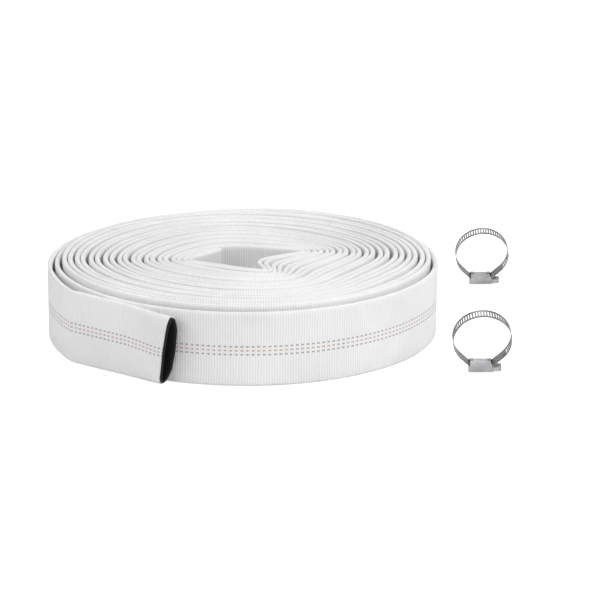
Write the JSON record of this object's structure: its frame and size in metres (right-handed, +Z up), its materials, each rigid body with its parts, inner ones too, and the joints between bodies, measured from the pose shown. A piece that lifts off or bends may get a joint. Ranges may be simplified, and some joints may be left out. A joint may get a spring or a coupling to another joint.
{
  "type": "rolled fire hose",
  "caption": "White woven lay-flat fire hose with black rubber lining, rolled double on its edge, with worm-drive hose clips standing beside it.",
  "frame": {"origin": "on the floor, at the centre of the roll", "axes": "+Z up along the roll's axis, +X towards the side where the clips stand, the free end and its mouth at -X and -Y"},
  "size_m": [0.5617, 0.4544, 0.085],
  "materials": {
    "woven_jacket": "white polyester yarn, circular woven, fine ribs across the hose, dashed marker yarns along the middle",
    "rubber_lining": "black extruded synthetic rubber, matt",
    "clip_band": "rolled stainless steel strip, slotted",
    "clip_housing": "pressed stainless steel",
    "clip_screw": "zinc-plated turned steel"
  },
  "bodies": {
    "hose": {"woven_jacket_roll": "woven_jacket", "rubber_lining_roll": "rubber_lining"},
    "free_end": {"woven_jacket_free_end": "woven_jacket", "rubber_lining_free_end": "rubber_lining"},
    "front_clip": {"front_clip_band": "clip_band", "front_clip_saddle": "clip_housing", "front_clip_housing": "clip_housing"},
    "rear_clip": {"rear_clip_band": "clip_band", "rear_clip_saddle": "clip_housing", "rear_clip_housing": "clip_housing"},
    "front_clip_screw": {"front_clip_screw": "clip_screw"},
    "rear_clip_screw": {"rear_clip_screw": "clip_screw"}
  },
  "joints": [
    {"name": "free_end_swing", "type": "hinge", "parent": "hose", "child": "free_end", "pos_m": [-0.19364, -0.1354, 0], "axis": [0, 0, 1], "range_deg": [-60, 0]},
    {"name": "front_clip_lift", "type": "slide", "parent": "hose", "child": "front_clip", "axis": [0, 0, 1], "range_m": [0, 0.12]},
    {"name": "front_clip_screw_turn", "type": "hinge", "parent": "front_clip", "child": "front_clip_screw", "pos_m": [0.269, -0.172, 0.0054], "axis": [-1, 0, 0], "range_deg": [0, 8010]},
    {"name": "rear_clip_lift", "type": "slide", "parent": "hose", "child": "rear_clip", "axis": [0, 0, 1], "range_m": [0, 0.12]},
    {"name": "rear_clip_screw_turn", "type": "hinge", "parent": "rear_clip", "child": "rear_clip_screw", "pos_m": [0.302, 0.182, 0.0054], "axis": [-1, 0, 0], "range_deg": [0, 8010]}
  ]
}
